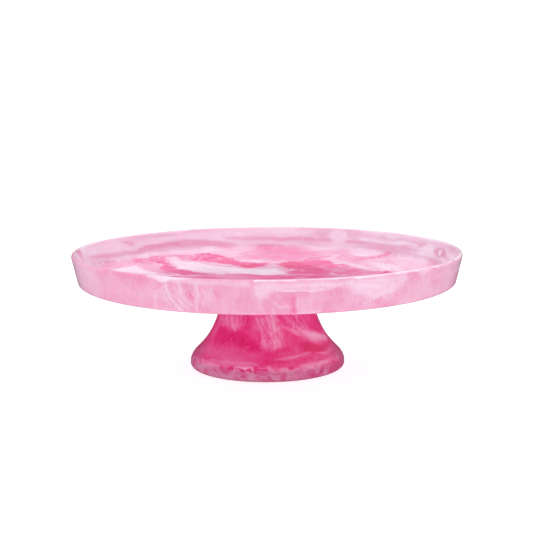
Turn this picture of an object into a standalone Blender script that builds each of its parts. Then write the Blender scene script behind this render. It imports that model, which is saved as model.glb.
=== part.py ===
"""Round pedestal cake stand in cast resin.

A shallow dish with a raised, slightly flared rim stands on a solid flared
foot.  The two castings are bonded: a short spigot on top of the foot sits in
a socket under the dish, and a thin layer of clear adhesive fills the joint
between the foot's shoulder and the dish's underside.  Four clear silicone
pads under the foot keep it from sliding on a polished table.

Metres, +Z up, origin on the table at the stand's own axis.
"""

import math

import bpy

# ---------------------------------------------------------------- dimensions
MM = 0.001

# dish
RIM_R = 150.0          # outer radius at the rim
RIM_TOP_Z = 92.5       # top of the rim above the table
LIP_R = 2.1            # half the rim's thickness, fully rounded on top
WALL_FOOT_R = 145.6    # outer wall's radius where the lower corner begins
WALL_FOOT_Z = 71.2
UNDER_R = 135.0        # where the lower corner has turned into the underside
UNDER_Z = 67.0         # flat underside
FLOOR_Z = 74.5         # flat serving floor, inside the rim
FLOOR_R = 134.5        # edge of the flat floor, where the fillet starts
INNER_WALL_R = 140.6   # inner wall's radius at the top of the fillet
INNER_WALL_Z = 79.5

# joint between dish and foot
SOCKET_R = 14.6
SOCKET_DEPTH = 3.4
SPIGOT_R = 14.0
SPIGOT_H = 4.0
BOND_GAP = 1.2         # from the foot's shoulder to the dish's underside
BOND_T = 0.6           # adhesive between them, with 0.3 mm clear each side
BOND_OUTER_R = 33.0
BOND_INNER_R = 15.2

# foot
PAD_T = 0.8            # the foot's resin starts this far above the table
SHOULDER_Z = UNDER_Z - BOND_GAP
# (height, radius) stations up the flared side, from the widest point
FOOT_SIDE = [
    (4.6, 60.3),
    (8.2, 59.9),
    (12.4, 57.6),
    (17.6, 52.6),
    (25.0, 46.6),
    (34.0, 41.7),
    (44.0, 38.0),
    (55.0, 35.4),
    (62.0, 34.6),
]
FOOT_BOTTOM_R = 56.6   # edge of the flat underside, where the round-over starts
NECK_R = 34.4          # at the shoulder

# pads under the foot
PAD_R = 6.0
PAD_PITCH_R = 44.0
PAD_THICK = 0.5        # the 0.3 mm above it is its self-adhesive film
PAD_EDGE = 0.15

DISH_STEPS = 96
FOOT_STEPS = 72
PAD_STEPS = 24


# ------------------------------------------------------------------- helpers
def arc(cx, cz, rx, rz, a0, a1, n):
    """n + 1 points on an ellipse from angle a0 to a1, in degrees."""
    points = []
    for i in range(n + 1):
        a = math.radians(a0 + (a1 - a0) * i / n)
        points.append((cx + rx * math.cos(a), cz + rz * math.sin(a)))
    return points


def smooth_side(stations, n):
    """A smooth curve through (height, radius) stations, sampled n times.
    It is a Catmull-Rom spline, so it passes through every station."""
    first, last = stations[0], stations[-1]
    padded = [
        (2 * first[0] - stations[1][0], 2 * first[1] - stations[1][1]),
        *stations,
        (2 * last[0] - stations[-2][0], 2 * last[1] - stations[-2][1]),
    ]
    spans = len(stations) - 1
    points = []
    for i in range(n + 1):
        t = spans * i / n
        k = min(int(t), spans - 1)
        u = t - k
        p0, p1, p2, p3 = padded[k : k + 4]
        points.append(
            tuple(
                0.5
                * (
                    2 * b
                    + (c - a) * u
                    + (2 * a - 5 * b + 4 * c - d) * u * u
                    + (3 * b - a - 3 * c + d) * u * u * u
                )
                for a, b, c, d in zip(p0, p1, p2, p3)
            )
        )
    return [(r, z) for z, r in points]


def tidy(profile):
    """Drops a point that repeats the one before it."""
    kept = [profile[0]]
    for r, z in profile[1:]:
        if math.hypot(r - kept[-1][0], z - kept[-1][1]) > 1e-4:
            kept.append((r, z))
    return kept


def material(name, colour, roughness):
    made = bpy.data.materials.new(name)
    made.use_nodes = True
    shader = made.node_tree.nodes["Principled BSDF"]
    shader.inputs["Base Color"].default_value = (*colour, 1.0)
    shader.inputs["Roughness"].default_value = roughness
    shader.inputs["Metallic"].default_value = 0.0
    made.diffuse_color = (*colour, 1.0)
    return made


def turned(name, profile, steps, collection, finish, closed=False):
    """A turned solid: a profile of (radius, height) in millimetres in the XZ
    plane, spun about Z by a Screw modifier.  An open profile starts and ends
    on the axis, and a closed one makes a ring."""
    profile = tidy(profile)
    count = len(profile)
    edges = [(i, i + 1) for i in range(count - 1)]
    if closed:
        edges.append((count - 1, 0))
    mesh = bpy.data.meshes.new(name)
    mesh.from_pydata([(r * MM, 0.0, z * MM) for r, z in profile], edges, [])
    made = bpy.data.objects.new(name, mesh)
    collection.objects.link(made)
    screw = made.modifiers.new("turn", "SCREW")
    screw.axis = "Z"
    screw.angle = 2 * math.pi
    screw.screw_offset = 0.0
    screw.steps = steps
    screw.render_steps = steps
    screw.use_merge_vertices = True
    screw.merge_threshold = 0.00005
    screw.use_smooth_shade = True
    mesh.materials.append(finish)
    return made


# --------------------------------------------------------------- clean scene
for old in list(bpy.data.objects):
    bpy.data.objects.remove(old, do_unlink=True)

stand = bpy.data.collections.new("cake_stand")
bpy.context.scene.collection.children.link(stand)

DISH_RESIN = material("dish_resin", (0.87, 0.45, 0.62), 0.22)
FOOT_RESIN = material("foot_resin", (0.72, 0.07, 0.22), 0.2)
ADHESIVE = material("clear_adhesive", (0.86, 0.55, 0.66), 0.15)
SILICONE = material("clear_silicone", (0.82, 0.80, 0.80), 0.45)

# ---------------------------------------------------------------------- dish
# From the middle of the floor outwards, up the inner wall, over the lip, down
# the flared outer wall, round the lower corner and back in under the dish.
lip_z = RIM_TOP_Z - LIP_R
dish_profile = [(0.0, FLOOR_Z), (45.0, FLOOR_Z), (95.0, FLOOR_Z)]
dish_profile += arc(FLOOR_R, INNER_WALL_Z, INNER_WALL_R - FLOOR_R,
                    INNER_WALL_Z - FLOOR_Z, -90, -14, 5)
dish_profile += arc(RIM_R - LIP_R, lip_z, LIP_R, LIP_R, 168, 90, 4)
dish_profile += arc(RIM_R - LIP_R, lip_z, LIP_R, LIP_R, 90, 0, 4)
dish_profile += [
    (RIM_R + (WALL_FOOT_R - RIM_R) * 0.5, lip_z + (WALL_FOOT_Z - lip_z) * 0.5)
]
dish_profile += arc(UNDER_R, WALL_FOOT_Z, WALL_FOOT_R - UNDER_R,
                    WALL_FOOT_Z - UNDER_Z, 0, -90, 6)
dish_profile += [(84.0, UNDER_Z), (38.0, UNDER_Z)]
dish_profile += [
    (SOCKET_R + 0.5, UNDER_Z),
    (SOCKET_R, UNDER_Z + 0.5),
    (SOCKET_R, UNDER_Z + SOCKET_DEPTH),
    (0.0, UNDER_Z + SOCKET_DEPTH),
]
turned("plate", dish_profile, DISH_STEPS, stand, DISH_RESIN)

# ---------------------------------------------------------------------- foot
# From the spigot's top down the flared side to the round-over at the base.
side = smooth_side(FOOT_SIDE, 20)
side.reverse()
foot_profile = [
    (0.0, SHOULDER_Z + SPIGOT_H),
    (SPIGOT_R - 0.6, SHOULDER_Z + SPIGOT_H),
    (SPIGOT_R, SHOULDER_Z + SPIGOT_H - 0.6),
    (SPIGOT_R, SHOULDER_Z),
    (NECK_R - 0.6, SHOULDER_Z),
    (NECK_R, SHOULDER_Z - 0.6),
]
foot_profile += side
foot_profile += arc(FOOT_BOTTOM_R, FOOT_SIDE[0][0], FOOT_SIDE[0][1] - FOOT_BOTTOM_R,
                    FOOT_SIDE[0][0] - PAD_T, 0, -90, 5)
foot_profile += [(0.0, PAD_T)]
turned("pedestal", foot_profile, FOOT_STEPS, stand, FOOT_RESIN)

# -------------------------------------------------------------- bonded joint
bond_low = SHOULDER_Z + (BOND_GAP - BOND_T) / 2
bond_high = bond_low + BOND_T
bond_profile = [
    (BOND_INNER_R, bond_high),
    (BOND_OUTER_R, bond_high),
    (BOND_OUTER_R + 0.3, (bond_low + bond_high) / 2),
    (BOND_OUTER_R, bond_low),
    (BOND_INNER_R, bond_low),
]
turned("bond_layer", bond_profile, FOOT_STEPS, stand, ADHESIVE, closed=True)

# -------------------------------------------------------------- non-slip pads
pad_profile = [
    (0.0, PAD_THICK),
    (PAD_R - PAD_EDGE, PAD_THICK),
    (PAD_R, PAD_THICK - PAD_EDGE),
    (PAD_R, PAD_EDGE),
    (PAD_R - PAD_EDGE, 0.0),
    (0.0, 0.0),
]
first_pad = None
for i in range(4):
    angle = math.radians(45 + 90 * i)
    name = "non_slip_pad_%d" % (i + 1)
    if first_pad is None:
        pad = turned(name, pad_profile, PAD_STEPS, stand, SILICONE)
        first_pad = pad
    else:
        pad = first_pad.copy()      # shares the first pad's mesh
        pad.name = name
        stand.objects.link(pad)
    pad.location = (
        PAD_PITCH_R * MM * math.cos(angle),
        PAD_PITCH_R * MM * math.sin(angle),
        0.0,
    )

for made in stand.objects:
    made.select_set(False)
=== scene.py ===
"""Looks for the pedestal cake stand: two polished resin castings with poured marbling, on a pale studio floor."""
import math

import bpy
import numpy as np
from mathutils import Euler, Matrix, Vector


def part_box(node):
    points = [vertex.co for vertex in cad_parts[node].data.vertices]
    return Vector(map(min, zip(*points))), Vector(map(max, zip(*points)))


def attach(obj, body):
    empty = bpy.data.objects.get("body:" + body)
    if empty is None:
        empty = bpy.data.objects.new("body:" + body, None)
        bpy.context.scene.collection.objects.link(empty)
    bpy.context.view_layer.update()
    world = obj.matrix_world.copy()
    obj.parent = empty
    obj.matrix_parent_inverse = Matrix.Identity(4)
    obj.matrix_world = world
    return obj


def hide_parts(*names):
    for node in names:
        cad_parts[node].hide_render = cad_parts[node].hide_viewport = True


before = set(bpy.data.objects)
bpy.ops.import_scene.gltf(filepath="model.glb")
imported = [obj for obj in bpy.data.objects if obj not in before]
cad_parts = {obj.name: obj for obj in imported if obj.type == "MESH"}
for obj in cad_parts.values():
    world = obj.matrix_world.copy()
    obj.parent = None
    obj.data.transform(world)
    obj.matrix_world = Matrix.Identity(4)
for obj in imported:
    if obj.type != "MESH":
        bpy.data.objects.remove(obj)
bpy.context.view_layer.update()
scene = bpy.context.scene
MM = 0.001

# ------------------------------------------------------------------ sizes, taken from the CAD boxes (mm)
dish_lo, dish_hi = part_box("plate")
foot_lo, foot_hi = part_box("pedestal")
bond_lo, bond_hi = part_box("bond_layer")
RIM_R = dish_hi.x / MM            # 150
RIM_Z = dish_hi.z / MM            # 92.5
UNDER_Z = dish_lo.z / MM          # 67
FOOT_R = foot_hi.x / MM           # 60.3
FOOT_Z0 = foot_lo.z / MM          # 0.8
LIP_R = 2.1
FLOOR_Z = 74.5
FLOOR_R = 134.5
WALL_Z = 71.2
WALL_R = 145.6


# ------------------------------------------------------------------ noise on points, for layout and for hand-cast unevenness
def lattice(ix, iy, iz, seed):
    n = (ix.astype(np.int64) * 374761393 + iy.astype(np.int64) * 668265263 + iz.astype(np.int64) * 1442695041 + seed * 974634777) & 0xFFFFFFFF
    n = ((n ^ (n >> 13)) * 1274126177) & 0xFFFFFFFF
    n = ((n ^ (n >> 15)) * 2246822519) & 0xFFFFFFFF
    return ((n ^ (n >> 16)) & 0xFFFFFF) / float(0xFFFFFF)


def vnoise(p, seed=0):
    """Smooth value noise, 0 to 1, on an (n, 3) array."""
    i = np.floor(p)
    f = p - i
    u = f * f * f * (f * (f * 6 - 15) + 10)
    out = np.zeros(len(p))
    for dx in (0, 1):
        wx = u[:, 0] if dx else 1 - u[:, 0]
        for dy in (0, 1):
            wy = u[:, 1] if dy else 1 - u[:, 1]
            for dz in (0, 1):
                wz = u[:, 2] if dz else 1 - u[:, 2]
                out += wx * wy * wz * lattice(i[:, 0] + dx, i[:, 1] + dy, i[:, 2] + dz, seed)
    return out


def fbm(p, octaves=4, seed=0, gain=0.5):
    total, amp, norm, q = np.zeros(len(p)), 1.0, 0.0, p.copy()
    for o in range(octaves):
        total += amp * vnoise(q, seed + 17 * o)
        norm += amp
        amp *= gain
        q = q * 2.03 + 11.7
    return total / norm


def smooth(x, lo, hi):
    t = np.clip((x - lo) / (hi - lo), 0, 1)
    return t * t * (3 - 2 * t)


# ------------------------------------------------------------------ brush strokes of pigment
def curve_through(pts, n=6, closed=False):
    """Stations smoothed with a Catmull-Rom curve."""
    p = np.array(pts, float)
    if len(p) < 3:
        return p
    q = np.vstack([p[-1], p, p[:2]]) if closed else np.vstack([2 * p[0] - p[1], p, 2 * p[-1] - p[-2]])
    out = []
    for i in range(1, len(q) - 2):
        for t in np.arange(n) / n:
            a, b, c, d = q[i - 1], q[i], q[i + 1], q[i + 2]
            out.append(0.5 * (2 * b + (c - a) * t + (2 * a - 5 * b + 4 * c - d) * t * t + (3 * b - a - 3 * c + d) * t ** 3))
    if not closed:
        out.append(p[-1])
    return np.array(out)


def reach(p, pts):
    """Signed depth in mm of each point of p (n, 2) inside a stroke with stations (x, y, half width)."""
    pts = np.array(pts, float)
    if len(pts) == 1:
        return pts[0, 2] - np.hypot(p[:, 0] - pts[0, 0], p[:, 1] - pts[0, 1])
    best = np.full(len(p), -1e9)
    for a, b in zip(pts[:-1], pts[1:]):
        d = b[:2] - a[:2]
        t = np.clip(((p - a[:2]) @ d) / max(d @ d, 1e-9), 0, 1)
        near = a[:2] + t[:, None] * d
        best = np.maximum(best, a[2] + t * (b[2] - a[2]) - np.hypot(*(p - near).T))
    return best


def depth_in(p, outline):
    """Signed depth in mm of each point of p (n, 2) inside a closed outline."""
    best = np.full(len(p), 1e9)
    inside = np.zeros(len(p), bool)
    for a, b in zip(outline, np.roll(outline, -1, axis=0)):
        d = b - a
        t = np.clip(((p - a) @ d) / max(d @ d, 1e-9), 0, 1)
        best = np.minimum(best, np.hypot(*(p - (a + t[:, None] * d)).T))
        if abs(d[1]) > 1e-9:
            inside ^= ((a[1] > p[:, 1]) != (b[1] > p[:, 1])) & (p[:, 0] < a[0] + d[0] * (p[:, 1] - a[1]) / d[1])
    return np.where(inside, best, -best)


FAR = 14.0      # mm beyond which a shape isn't felt


class Paint:
    """The layers of pigment, with some painted light and shade, at each vertex: tone 0 is opaque white and 1 the
    deepest pink.
    """

    def __init__(self, n, base):
        self.tone = np.full(n, base, float) if np.isscalar(base) else base.copy()
        self.white = np.full(n, -8.0)     # depth inside a crisp white shape, mm
        self.white_amount = np.ones(n)
        self.hot = np.full(n, -8.0)       # depth inside a crisp deep pink shape, mm
        self.hot_tone = np.full(n, 0.8)
        self.line = np.full(n, 6.0)       # side distance from a thin white thread, mm
        self.line_on = np.zeros(n)
        self.streak = np.zeros(n)         # how much the grain is drawn upright
        self.level = np.zeros(n)          # how much the grain runs level round the wall
        self.veil = np.zeros(n)           # how many fine pale strands hang here
        self.cloud = np.ones(n)           # how lively the small clouding is
        self.painted_shade = np.zeros(n)           # painted shade: how far the colour darkens toward grey mauve

    def on(self, idx, q, sx=1.0, sy=1.0):
        """Choose the vertices and their flat coordinates; sx and sy stretch the metric of soft edges."""
        self.idx, self.sc = idx, np.array([sx, sy])
        self.q = q * self.sc

    def depth(self, pts):
        """Depth inside a stroke, where stations have a half width, or inside an outline, where they haven't."""
        pts = np.array(pts, float)
        pts[:, :2] *= self.sc
        area = pts.shape[1] == 2
        q = curve_through(pts, 5, closed=area)
        margin = FAR + (0 if area else pts[:, 2].max())
        k = np.all((self.q > q[:, :2].min(0) - margin) & (self.q < q[:, :2].max(0) + margin), axis=1)
        d = np.full(len(self.q), -FAR)
        if k.any():
            d[k] = np.maximum((depth_in if area else reach)(self.q[k], q), -FAR)
        return d

    def soft(self, target, soft, pts, amount=1.0):
        a = amount * smooth(self.depth(pts), -soft, soft)
        self.tone[self.idx] = self.tone[self.idx] * (1 - a) + target * a

    def deep(self, target, soft, pts):
        a = smooth(self.depth(pts), -soft, soft)
        self.hot_tone[self.idx] = self.hot_tone[self.idx] * (1 - a) + target * a

    def veiled(self, amount, soft, pts):
        self.veil[self.idx] = np.maximum(self.veil[self.idx], amount * smooth(self.depth(pts), -soft, soft))

    # painted shade: darkens the colour toward grey mauve inside a stroke or outline
    def paint_shade(self, amount, soft, pts):
        self.painted_shade[self.idx] = np.maximum(self.painted_shade[self.idx], amount * smooth(self.depth(pts), -soft, soft))

    def crisp_white(self, pts, amount=1.0):
        d = self.depth(pts)
        i = self.idx
        self.white_amount[i] = np.where(d > self.white[i], amount, self.white_amount[i])
        self.white[i] = np.maximum(self.white[i], d)

    def crisp_hot(self, pts):
        i = self.idx
        self.hot[i] = np.maximum(self.hot[i], self.depth(pts))

    def thread(self, pts, width=0.6):
        """A thin white thread. The stored distance has a sign, so it stays exact between vertices."""
        q = curve_through([(x, y, 0) for x, y in pts])[:, :2] * self.sc
        p = self.q
        best = np.full(len(p), 1e9)
        side = np.zeros(len(p))
        for a, b in zip(q[:-1], q[1:]):
            d = b - a
            t = np.clip(((p - a) @ d) / max(d @ d, 1e-9), 0, 1)
            near = a + t[:, None] * d
            dist = np.hypot(*(p - near).T)
            s = np.sign(d[0] * (p[:, 1] - a[1]) - d[1] * (p[:, 0] - a[0]))
            k = dist < best
            best = np.where(k, dist, best)
            side = np.where(k, s, side)
        i = self.idx
        k = best < np.abs(self.line[i])
        self.line[i] = np.where(k, np.clip(side * best * (0.6 / width), -6, 6), self.line[i])
        self.line_on[i] = np.maximum(self.line_on[i], 1 - smooth(best, 1.5, 3.5))

    def store(self, mesh):
        for name, values in (
            ("tone", self.tone), ("white", np.clip(self.white, -8, 8)), ("white_amount", self.white_amount),
            ("hot", np.clip(self.hot, -8, 8)), ("hot_tone", self.hot_tone), ("line", self.line), ("line_on", self.line_on),
            ("streak", self.streak), ("level", self.level), ("veil", self.veil), ("cloud", self.cloud), ("painted_shade", self.painted_shade),
        ):
            mesh.attributes.new(name, "FLOAT", "POINT").data.foreach_set("value", values.astype(np.float32))


# ------------------------------------------------------------------ turned bodies
def spread(profile, counts):
    """Points along straight runs of a profile: counts[i] steps between corner i and corner i + 1."""
    out = []
    for (a, b), n in zip(zip(profile[:-1], profile[1:]), counts):
        a, b = np.array(a, float), np.array(b, float)
        out += [a + (b - a) * k / n for k in range(n)]
    out.append(np.array(profile[-1], float))
    return out


def arc(cx, cz, rx, rz, a0, a1, n):
    return [np.array((cx + rx * math.cos(math.radians(a)), cz + rz * math.sin(math.radians(a)))) for a in np.linspace(a0, a1, n + 1)]


def turned(name, rings, steps, closed=False):
    """A mesh of quads turned about Z from (radius, height) rings in mm, top centre first. Returns the object and its ring index per vertex."""
    co, first, ring_of = [], [], []
    ang = np.arange(steps) * 2 * math.pi / steps
    for k, (r, z) in enumerate(rings):
        first.append(len(ring_of))
        if r < 1e-6:
            co.append(np.array([[0, 0, z]]))
            ring_of.append(k)
        else:
            co.append(np.c_[r * np.cos(ang), r * np.sin(ang), np.full(steps, z)])
            ring_of += [k] * steps
    co = np.vstack(co)
    faces = []
    pairs = [(k, k + 1) for k in range(len(rings) - 1)] + ([(len(rings) - 1, 0)] if closed else [])
    for a, b in pairs:
        fa, fb = first[a], first[b]
        for j in range(steps):
            m = (j + 1) % steps
            if rings[a][0] < 1e-6:
                faces.append((fa, fb + j, fb + m))
            elif rings[b][0] < 1e-6:
                faces.append((fa + j, fb, fa + m))
            else:
                faces.append((fa + j, fb + j, fb + m, fa + m))
    mesh = bpy.data.meshes.new(name)
    mesh.from_pydata((co * MM).tolist(), [], faces)
    mesh.update()
    mesh.shade_smooth()
    ob = bpy.data.objects.new(name, mesh)
    scene.collection.objects.link(ob)
    return ob, np.array(ring_of)


def points_mm(mesh):
    co = np.zeros(len(mesh.vertices) * 3, np.float32)
    mesh.vertices.foreach_get("co", co)
    return co.reshape(-1, 3).astype(float) / MM


def set_points(mesh, p):
    mesh.vertices.foreach_set("co", (p * MM).astype(np.float32).ravel())
    mesh.update()


# ------------------------------------------------------------------ the dish
def make_dish():
    lip_c = RIM_R - LIP_R
    lip_z = RIM_Z - LIP_R
    inner_foot = 79.5
    rings = spread([(0, FLOOR_Z), (FLOOR_R - 0.8, FLOOR_Z)], [68])
    rings += arc(FLOOR_R, inner_foot, 6.1, 5.0, -90, -12, 8)
    top_in = np.array((lip_c - LIP_R * math.cos(math.radians(12)), lip_z + LIP_R * math.sin(math.radians(12))))
    rings += spread([rings[-1], top_in], [9])[1:-1]
    rings += arc(lip_c, lip_z, LIP_R, LIP_R, 168, 0, 12)
    rings += spread([rings[-1], (WALL_R, WALL_Z)], [18])[1:-1]
    rings += arc(135.0, WALL_Z, 10.6, WALL_Z - UNDER_Z, 0, -90, 8)
    rings += spread([rings[-1], (40, UNDER_Z), (15.3, UNDER_Z), (14.8, UNDER_Z + 0.5), (14.8, UNDER_Z + 3.2), (14.5, UNDER_Z + 3.4), (0, UNDER_Z + 3.4)], [18, 4, 1, 2, 1, 3])[1:]
    ob, ring_of = turned("marbled_dish", rings, 600)
    p = points_mm(ob.data)
    zone_z = p[:, 2]
    r = np.hypot(p[:, 0], p[:, 1])
    th = np.degrees(np.arctan2(p[:, 1], p[:, 0]))
    n_floor = 69 + 8
    top = ring_of < n_floor + 9 + 6
    inner = (ring_of >= 66) & top
    outer = (ring_of >= n_floor + 9 + 6) & (ring_of < n_floor + 9 + 12 + 18 + 9)
    under = ~(top | outer)

    # hand-cast unevenness, at most a fifth of a millimetre inward and 0.3 mm down
    wob = (fbm(np.c_[p[:, 0] / 60, p[:, 1] / 60, np.zeros(len(p))], 2, 5) - 0.5)
    edge = smooth(r, 120, 148)
    q = p.copy()
    q[:, :2] *= (1 - (0.0012 * (0.5 + wob)) * edge)[:, None]
    q[:, 2] -= 0.30 * (0.5 + wob) * edge * smooth(p[:, 2], 80, 92)
    set_points(ob.data, q)

    # layout of the marbling
    n = len(p)
    warp = np.c_[fbm(p / 34, 3, 21), fbm(p / 34, 3, 22), fbm(p / 34, 3, 23)] - 0.5
    w2 = p + 46 * warp
    base = 0.36 + 0.55 * (fbm(w2 / np.array([46, 46, 30]), 3, 31) - 0.5)
    paint = Paint(n, base)
    paint_floor(paint, p, top & ~(inner & (p[:, 2] > 77)))
    paint_inner(paint, p, inner & (r > 130), th)
    paint_outer(paint, p, outer, th)
    paint_under(paint, p, under | (outer & (p[:, 2] < 69)))
    paint.streak[outer] = 1.0
    paint.store(ob.data)
    return ob


def paint_floor(paint, p, zone):
    """The floor, in X and Y: pigment stirred round a point behind the middle, so the veins are arcs about it."""
    idx = np.nonzero(zone)[0]
    drift = np.c_[fbm(p[idx] / 20, 3, 41), fbm(p[idx] / 20, 3, 42)] - 0.5
    paint.on(idx, p[idx][:, :2] + np.array([4.0, 9.0]) * drift)
    s, cw, ch, deep = paint.soft, paint.crisp_white, paint.crisp_hot, paint.deep
    # the ground: soft clouds of pale and middle pink
    s(0.48, 25, [(-100, 40, 30), (-60, 90, 20)], 0.6)
    s(0.50, 20, [(-10, 90, 40), (40, 90, 30)], 0.5)
    s(0.20, 6, [(-80, 110), (-55, 125), (-25, 118), (-25, 88), (-48, 94), (-62, 108), (-74, 95)])
    s(0.60, 8, [(-5, 148), (25, 130), (52, 95), (44, 62), (14, 58), (-5, 85)])
    s(0.56, 5, [(-20, 104, 4), (-12, 86, 6), (-8, 72, 5)])
    s(0.14, 6, [(74, 128), (95, 132), (105, 104), (86, 84), (75, 94)])
    s(0.27, 7, [(100, 82), (116, 105), (142, 78), (130, 30), (106, 14)])
    s(0.14, 6, [(114, 68, 4), (134, 74, 6), (128, 50, 4)])
    s(0.44, 3, [(-134, 47, 3), (-118, 62, 3)])
    s(0.62, 4, [(-112, 78), (-98, 74), (-96, 48), (-108, 54)])
    s(0.45, 4, [(-92, 30, 5)])
    s(0.58, 3, [(58, 72), (68, 82), (84, 74), (80, 58), (66, 52)])
    s(0.46, 3, [(40, 84, 3), (50, 88, 3)])
    s(0.48, 4, [(66, 56, 4), (76, 44, 5)])
    s(0.15, 3, [(88, 64, 4), (97, 64, 3)])
    s(0.24, 4, [(50, 70, 5)])
    s(0.42, 4, [(52, 106, 5), (57, 90, 5)])
    s(0.58, 4, [(2, 115, 6)])
    s(0.36, 4, [(-10, 22, 7), (6, 22, 8)])
    s(0.50, 3, [(-34, 30, 3), (-20, 19, 4)])
    # deep pink, crisp: the streak left of the middle, the mass right of it that runs on into the near band, and the hook behind
    ch([(-77, 92), (-64, 92), (-57, 106), (-42, 92), (-26, 64), (-8, 52), (3, 41), (-5, 28), (-14, 20), (-24, 31), (-36, 45), (-49, 56), (-60, 63), (-70, 70)])
    ch([(8, 38), (16, 52), (40, 63), (54, 44), (66, 34), (74, 12), (98, -6), (78, -28), (45, -43), (0, -53), (-45, -46), (-74, -22), (-60, -17), (-48, -9), (0, -13), (16, -14), (14, 0), (20, 10), (14, 28)])
    ch([(-98, 86), (-87, 90), (-81, 56), (-70, 18), (-46, -6), (-57, -17), (-72, -4), (-84, 9), (-88, 46), (-96, 56)])
    ch([(58, 74, 0.6), (64, 82, 1.6), (72, 80, 1.4)])
    ch([(78, 72, 2), (86, 68, 3), (92, 74, 1)])
    ch([(96, 82, 0.8), (104, 94, 1.6)])
    s(0.52, 5, [(66, 74, 5), (78, 66, 5)])
    ch([(0, 52, 4)])
    ch([(-80, 2, 2), (-76, -8, 1.5)])
    deep(0.68, 6, [(-72, 78, 8), (-58, 88, 12)])
    deep(0.86, 5, [(-46, 74, 10), (-30, 56, 12)])
    deep(1.00, 4, [(-26, 46), (-12, 48), (-2, 41), (-6, 29), (-14, 21), (-22, 31)])
    deep(0.68, 6, [(60, 36), (90, 2), (84, -24), (56, -34), (48, -10)])
    deep(0.96, 5, [(8, 38), (18, 50), (32, 46), (48, 6), (40, -8), (22, -6), (15, 22)])
    deep(1.00, 4, [(16, 38, 7), (26, 30, 6)])
    deep(0.66, 3, [(30, 50, 0.8), (44, 22, 1.6), (54, -3, 0.8)])
    deep(0.66, 6, [(-50, -24, 14), (-20, -28, 16)])
    deep(0.76, 6, [(-6, -30, 14), (18, -30, 14)])
    deep(0.70, 6, [(32, -28, 14), (52, -24, 10)])
    deep(0.84, 4, [(-68, -18, 6)])
    deep(0.68, 6, [(-92, 70, 14)])
    deep(0.84, 6, [(-78, 30, 10), (-56, -2, 10)])
    deep(0.50, 6, [(64, 80, 20), (106, 92, 20)])
    # opaque white, crisp: the long comma, the band by the wall, and scraps torn off them
    cw([(-84, 78), (-76, 87), (-70, 60), (-60, 58), (-50, 41), (-33, 26), (-10, 16), (10, 12), (12, -11), (-25, -8), (-45, -2), (-60, 11), (-71, 24), (-80, 50)])
    cw([(-123, 14), (-107, 39), (-97, 18), (-89, 2), (-80, -17), (-76, -34), (-88, -31), (-112, -6)])
    cw([(-22, 58, 2), (-11, 58, 7), (-2, 58, 3)], 0.9)
    cw([(56, 66, 1.0), (67, 39, 1.8), (78, 17, 3.0)], 0.8)
    cw([(53, 72, 1.2), (60, 91, 1.5)], 0.85)
    cw([(84, 42), (98, 43), (107, 3), (90, 14)], 0.8)
    cw([(49, -9, 0.2), (53, -17, 0.6)], 0.8)
    cw([(56, -22, 0.2), (61, -18, 0.2)], 0.8)
    cw([(-59, -14, 1.6), (-55, -14, 1.6)], 0.85)
    # the near half, in the same swirl
    cw([(104, -24, 4), (92, -48, 7), (70, -72, 9), (44, -86, 8), (16, -92, 5)])
    ch([(92, -32, 4), (82, -52, 7), (58, -66, 9), (30, -76, 9), (-2, -80, 8), (-34, -72, 7), (-60, -56, 5)])
    cw([(-100, -60, 4), (-80, -84, 7), (-50, -102, 9), (-16, -112, 6)], 0.95)
    ch([(-62, -88, 3), (-30, -96, 6), (4, -106, 7), (38, -110, 6), (70, -100, 4)])
    s(0.50, 9, [(70, -104, 14), (100, -74, 12)])
    s(0.22, 8, [(-30, -60, 6), (10, -62, 8), (40, -56, 5)])
    cw([(20, -60, 3), (0, -64, 4.5), (-22, -60, 3)], 0.85)
    for line in (
        [(-60, 56), (-46, 36), (-28, 24), (-8, 18)], [(-88, -40), (-60, -58), (-24, -66), (10, -62)], [(64, -40), (40, -58), (8, -82)],
    ):
        paint.thread(line, 0.5)


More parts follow.
